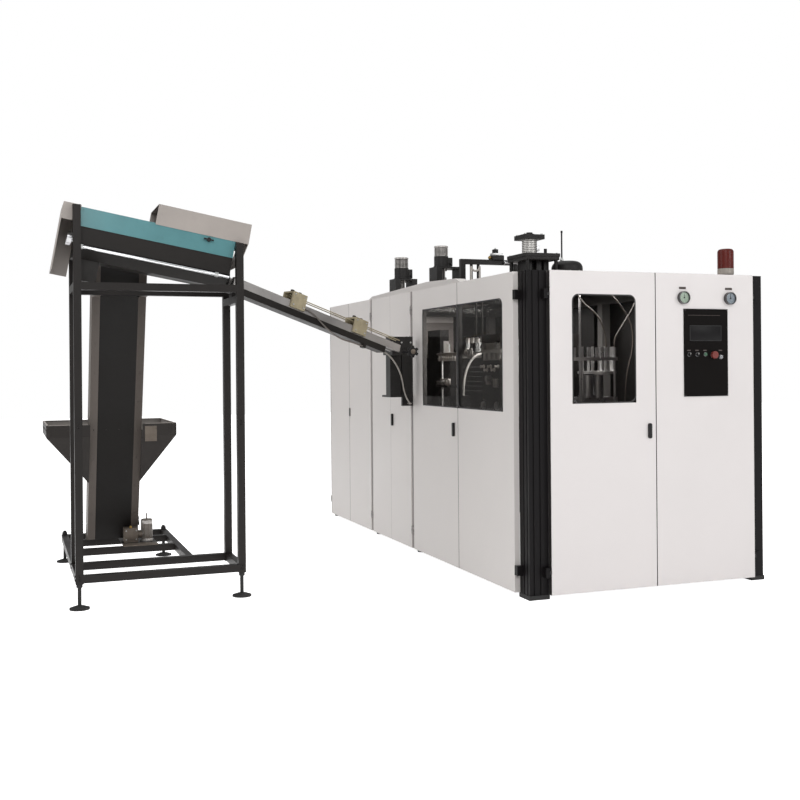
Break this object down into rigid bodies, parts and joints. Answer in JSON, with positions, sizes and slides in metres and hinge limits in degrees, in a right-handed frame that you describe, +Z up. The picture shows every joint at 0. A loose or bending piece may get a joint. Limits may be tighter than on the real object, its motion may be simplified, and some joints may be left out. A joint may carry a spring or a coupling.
{
  "type": "blow moulding machine",
  "caption": "Linear stretch blow moulding machine in a closed cabinet with doors and a control panel, fed by a hopper, inclined elevator, roller unscrambler and sloping chute.",
  "frame": {"origin": "on the floor under the middle of the front left corner post", "axes": "+X along the front with the control panel, +Y back along the long side with the chute, +Z up"},
  "size_m": [4.876, 4.5973, 2.6673],
  "materials": {
    "frame_black": "satin black paint",
    "panel_grey": "light grey paint",
    "front_white": "off white paint",
    "mullion_grey": "mid grey paint",
    "steel": "brushed",
    "aluminium": "plain",
    "glass": "clear tinted",
    "dark_plastic": "matte",
    "beige": "beige paint",
    "teal": "teal paint",
    "hood_grey": "warm grey paint",
    "feeder_brown": "dark brown paint",
    "belt": "matte belt",
    "red_dome": "dark red dome",
    "red_button": "red cap",
    "green_button": "green cap",
    "console": "satin black paint",
    "beacon_grey": "moulded pale grey",
    "gauge_rim": "dark rim",
    "hose": "light grey",
    "rubber_pad": "matte",
    "motor": "dark grey paint"
  },
  "bodies": {
    "machine": {"levelling_feet": "rubber_pad", "cabinet_frame": "steel", "front_posts": "frame_black", "side_mullions": "mullion_grey", "roof_panels": "panel_grey", "fixed_panels": "panel_grey", "machine_deck": "steel", "press_frame": "steel", "transfer_pedestal": "steel", "oven": "steel", "stretch_cylinder": "aluminium", "roof_frame": "motor", "roof_motors": "motor", "beacon_base": "beacon_grey", "beacon_dome": "red_dome", "feeder_frame": "feeder_brown", "hopper": "panel_grey", "elevator_frame": "feeder_brown", "elevator_belt": "belt", "elevator_motor": "beige", "trough_body": "steel", "trough_panel": "teal", "drive_end_cover": "hood_grey", "outlet_hood": "hood_grey", "chute_rails": "aluminium", "chute_channel": "feeder_brown", "chute_clamps": "beige", "infeed_unit": "motor", "air_hoses": "hose"},
    "front_left": {"front_door_left": "front_white", "front_window": "glass"},
    "front_right": {"front_door_right": "front_white", "control_panel": "console", "pressure_gauges": "gauge_rim"},
    "side_1": {"side_door_1": "panel_grey", "side_window_1": "glass"},
    "side_2": {"side_door_2": "panel_grey", "side_window_2": "glass"},
    "side_3": {"side_door_3": "panel_grey"},
    "side_4": {"side_door_4": "panel_grey"},
    "side_5": {"side_door_5": "panel_grey"},
    "side_6": {"side_door_6": "panel_grey"},
    "lever_front": {"handle_front": "dark_plastic"},
    "lever_side_2": {"handle_side_2": "dark_plastic"},
    "lever_side_3": {"handle_side_3": "dark_plastic"},
    "estop": {"estop_button": "red_button"},
    "start": {"start_button": "green_button"},
    "key": {"key_switch": "dark_plastic"},
    "needle_left": {"gauge_needle_left": "dark_plastic"},
    "needle_right": {"gauge_needle_right": "dark_plastic"},
    "mould_l": {"mould_left": "aluminium"},
    "mould_r": {"mould_right": "aluminium"},
    "rod": {"stretch_rod": "steel"},
    "wheel": {"transfer_wheel": "aluminium"},
    "head": {"head_roller": "steel"},
    "foot": {"foot_roller": "steel"},
    "sorter_near": {"sorting_roller_near": "steel"},
    "sorter_far": {"sorting_roller_far": "steel"},
    "knob": {"wing_knob": "dark_plastic"},
    "star": {"star_wheel": "dark_plastic"}
  },
  "joints": [
    {"name": "side_door_1_hinge", "type": "hinge", "parent": "machine", "child": "side_1", "pos_m": [-0.108, 0.067, 0], "axis": [0, 0, 1], "range_deg": [0, 110]},
    {"name": "side_door_2_hinge", "type": "hinge", "parent": "machine", "child": "side_2", "pos_m": [-0.108, 1.973, 0], "axis": [0, 0, -1], "range_deg": [0, 12]},
    {"name": "side_door_3_hinge", "type": "hinge", "parent": "machine", "child": "side_3", "pos_m": [-0.108, 2.017, 0], "axis": [0, 0, 1], "range_deg": [0, 90]},
    {"name": "side_door_4_hinge", "type": "hinge", "parent": "machine", "child": "side_4", "pos_m": [-0.108, 3.033, 0], "axis": [0, 0, -1], "range_deg": [0, 90]},
    {"name": "side_door_5_hinge", "type": "hinge", "parent": "machine", "child": "side_5", "pos_m": [-0.108, 3.077, 0], "axis": [0, 0, 1], "range_deg": [0, 90]},
    {"name": "side_door_6_hinge", "type": "hinge", "parent": "machine", "child": "side_6", "pos_m": [-0.108, 4.383, 0], "axis": [0, 0, -1], "range_deg": [0, 110]},
    {"name": "front_door_left_hinge", "type": "hinge", "parent": "machine", "child": "front_left", "pos_m": [0.067, -0.108, 0], "axis": [0, 0, -1], "range_deg": [0, 110]},
    {"name": "front_door_right_hinge", "type": "hinge", "parent": "machine", "child": "front_right", "pos_m": [1.723, -0.108, 0], "axis": [0, 0, 1], "range_deg": [0, 110]},
    {"name": "front_lever_turn", "type": "hinge", "parent": "front_left", "child": "lever_front", "pos_m": [0.84, -0.11, 1.148], "axis": [0, 1, 0], "range_deg": [0, 90]},
    {"name": "side_lever_2_turn", "type": "hinge", "parent": "side_2", "child": "lever_side_2", "pos_m": [-0.11, 1.09, 1.121], "axis": [1, 0, 0], "range_deg": [0, 90]},
    {"name": "side_lever_3_turn", "type": "hinge", "parent": "side_3", "child": "lever_side_3", "pos_m": [-0.11, 2.465, 1.138], "axis": [-1, 0, 0], "range_deg": [0, 90]},
    {"name": "estop_press", "type": "slide", "parent": "front_right", "child": "estop", "axis": [0, 1, 0], "range_m": [0, 0.005], "stiffness_N_per_m": 800},
    {"name": "start_press", "type": "slide", "parent": "front_right", "child": "start", "axis": [0, 1, 0], "range_m": [0, 0.003], "stiffness_N_per_m": 600},
    {"name": "key_turn", "type": "hinge", "parent": "front_right", "child": "key", "pos_m": [1.428, -0.116, 1.615], "axis": [0, 1, 0], "range_deg": [0, 90]},
    {"name": "needle_left_turn", "type": "hinge", "parent": "front_right", "child": "needle_left", "pos_m": [1.12, -0.13, 2.03], "axis": [0, 1, 0], "range_deg": [-135, 135], "stiffness_Nm_per_rad": 0.002},
    {"name": "needle_right_turn", "type": "hinge", "parent": "front_right", "child": "needle_right", "pos_m": [1.509, -0.13, 2.03], "axis": [0, 1, 0], "range_deg": [-135, 135], "stiffness_Nm_per_rad": 0.002},
    {"name": "mould_left_slide", "type": "slide", "parent": "machine", "child": "mould_l", "axis": [1, 0, 0], "range_m": [0, 0.0597]},
    {"name": "mould_right_slide", "type": "slide", "parent": "machine", "child": "mould_r", "axis": [-1, 0, 0], "range_m": [0, 0.0597]},
    {"name": "stretch_rod_slide", "type": "slide", "parent": "machine", "child": "rod", "axis": [0, 0, -1], "range_m": [0, 0.25]},
    {"name": "transfer_wheel_spin", "type": "hinge", "parent": "machine", "child": "wheel", "pos_m": [0.75, 0.43, 1.5], "axis": [0, 0, 1], "continuous": true},
    {"name": "head_roller_spin", "type": "hinge", "parent": "machine", "child": "head", "pos_m": [-2.552, 1.44144, 2.53553], "axis": [1, 0, 0], "continuous": true},
    {"name": "foot_roller_spin", "type": "hinge", "parent": "machine", "child": "foot", "pos_m": [-2.552, 2.22393, 0.3621], "axis": [1, 0, 0], "continuous": true},
    {"name": "sorter_near_spin", "type": "hinge", "parent": "machine", "child": "sorter_near", "pos_m": [-2.39542, 0.997, 2.34494], "axis": [0.9836, 0, -0.1805], "continuous": true},
    {"name": "sorter_far_spin", "type": "hinge", "parent": "machine", "child": "sorter_far", "pos_m": [-2.39542, 1.121, 2.34494], "axis": [0.9836, 0, -0.1805], "continuous": true},
    {"name": "wing_knob_turn", "type": "hinge", "parent": "machine", "child": "knob", "pos_m": [-2.02246, 0.845, 2.43815], "axis": [0, 1, 0], "continuous": true},
    {"name": "star_wheel_spin", "type": "hinge", "parent": "machine", "child": "star", "pos_m": [-0.262, 1.6, 1.685], "axis": [0, 1, 0], "continuous": true}
  ],
  "couplings": [
    {"joint": "mould_right_slide", "follows": "mould_left_slide", "ratio": 1},
    {"joint": "foot_roller_spin", "follows": "head_roller_spin", "ratio": 1},
    {"joint": "sorter_far_spin", "follows": "sorter_near_spin", "ratio": -1}
  ]
}
